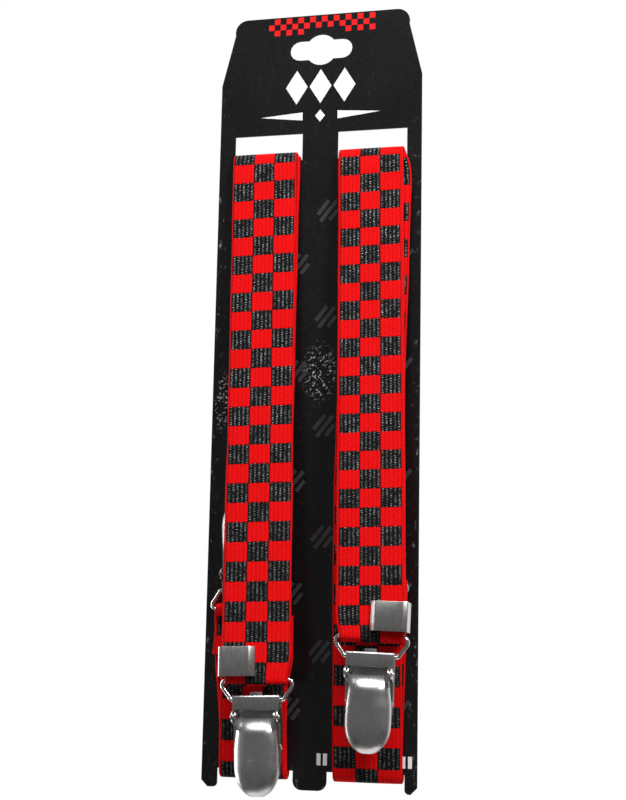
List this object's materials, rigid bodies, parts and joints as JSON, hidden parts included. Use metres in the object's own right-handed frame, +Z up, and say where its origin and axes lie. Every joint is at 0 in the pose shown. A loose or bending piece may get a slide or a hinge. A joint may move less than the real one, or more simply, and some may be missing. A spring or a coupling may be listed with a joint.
{
  "type": "clip suspenders",
  "caption": "Red and black checked elastic trouser suspenders with nickel-plated clips and slide adjusters, wound on a black hanging card.",
  "frame": {"origin": "where a peg bears, at the top of the middle bump of the card's hang slot, halfway through the card's thickness", "axes": "+Z up along the card, -Y out of the card's printed front where the clips hang, +X to the right of someone who faces the front"},
  "size_m": [0.0804, 0.0272, 0.2996],
  "materials": {
    "card_board": "gloss laminated black print",
    "webbing": "woven elastic in red and black checks",
    "leatherette": "fine grain",
    "thread": "twisted sewing thread",
    "wire": "bright nickel plate on steel wire",
    "plated_steel": "satin nickel plate on pressed steel"
  },
  "bodies": {
    "root": {"display_card": "card_board", "strap_left_front_to_right_back": "webbing", "strap_right_front_to_left_back": "webbing", "cross_patch": "leatherette", "cross_patch_stitching": "thread", "back_end_stitching_left": "thread", "back_end_stitching_right": "thread", "back_wire_loop_left": "wire", "back_clip_plate_left": "plated_steel", "back_clip_jaw_left": "plated_steel", "back_clip_lever_left": "plated_steel", "back_wire_loop_right": "wire", "back_clip_plate_right": "plated_steel", "back_clip_jaw_right": "plated_steel", "back_clip_lever_right": "plated_steel"},
    "adjuster_left": {"slide_adjuster_left": "plated_steel"},
    "wire_loop_left": {"front_wire_loop_left": "wire"},
    "clip_plate_left": {"front_clip_plate_left": "plated_steel"},
    "clip_jaw_left": {"front_clip_jaw_left": "plated_steel"},
    "clip_lever_left": {"front_clip_lever_left": "plated_steel"},
    "adjuster_right": {"slide_adjuster_right": "plated_steel"},
    "wire_loop_right": {"front_wire_loop_right": "wire"},
    "clip_plate_right": {"front_clip_plate_right": "plated_steel"},
    "clip_jaw_right": {"front_clip_jaw_right": "plated_steel"},
    "clip_lever_right": {"front_clip_lever_right": "plated_steel"}
  },
  "joints": [
    {"name": "adjuster_slide_left", "type": "slide", "parent": "root", "child": "adjuster_left", "axis": [-0.0265, 0.0698, 0.9972], "range_m": [-0.0008, 0.014]},
    {"name": "loop_swing_left", "type": "hinge", "parent": "root", "child": "wire_loop_left", "pos_m": [-0.0159, -0.015, -0.2508], "axis": [-0.9994, 0, -0.0349], "range_deg": [-4, 60]},
    {"name": "clip_swing_left", "type": "hinge", "parent": "wire_loop_left", "child": "clip_plate_left", "pos_m": [-0.01566, -0.015, -0.2578], "axis": [-0.9994, 0, -0.0349], "range_deg": [-4, 25]},
    {"name": "lever_open_left", "type": "hinge", "parent": "clip_plate_left", "child": "clip_lever_left", "pos_m": [-0.01545, -0.0182, -0.26359], "axis": [-0.9994, 0, -0.0349], "range_deg": [0, 95]},
    {"name": "jaw_open_left", "type": "hinge", "parent": "clip_plate_left", "child": "clip_jaw_left", "pos_m": [-0.01566, -0.0164, -0.2578], "axis": [-0.9994, 0, -0.0349], "range_deg": [0, 5.7]},
    {"name": "adjuster_slide_right", "type": "slide", "parent": "root", "child": "adjuster_right", "axis": [-0.0256, 0.0699, 0.9972], "range_m": [-0.0012, 0.005]},
    {"name": "loop_swing_right", "type": "hinge", "parent": "root", "child": "wire_loop_right", "pos_m": [0.0256, -0.0139, -0.2346], "axis": [-0.9997, 0, 0.0262], "range_deg": [-4, 60]},
    {"name": "clip_swing_right", "type": "hinge", "parent": "wire_loop_right", "child": "clip_plate_right", "pos_m": [0.02542, -0.0139, -0.2416], "axis": [-0.9997, 0, 0.0262], "range_deg": [-4, 25]},
    {"name": "lever_open_right", "type": "hinge", "parent": "clip_plate_right", "child": "clip_lever_right", "pos_m": [0.02526, -0.0171, -0.2474], "axis": [-0.9997, 0, 0.0262], "range_deg": [0, 95]},
    {"name": "jaw_open_right", "type": "hinge", "parent": "clip_plate_right", "child": "clip_jaw_right", "pos_m": [0.02542, -0.0153, -0.2416], "axis": [-0.9997, 0, 0.0262], "range_deg": [0, 5.7]}
  ],
  "couplings": [
    {"joint": "jaw_open_left", "follows": "lever_open_left", "ratio": 0.06},
    {"joint": "jaw_open_right", "follows": "lever_open_right", "ratio": 0.06}
  ]
}
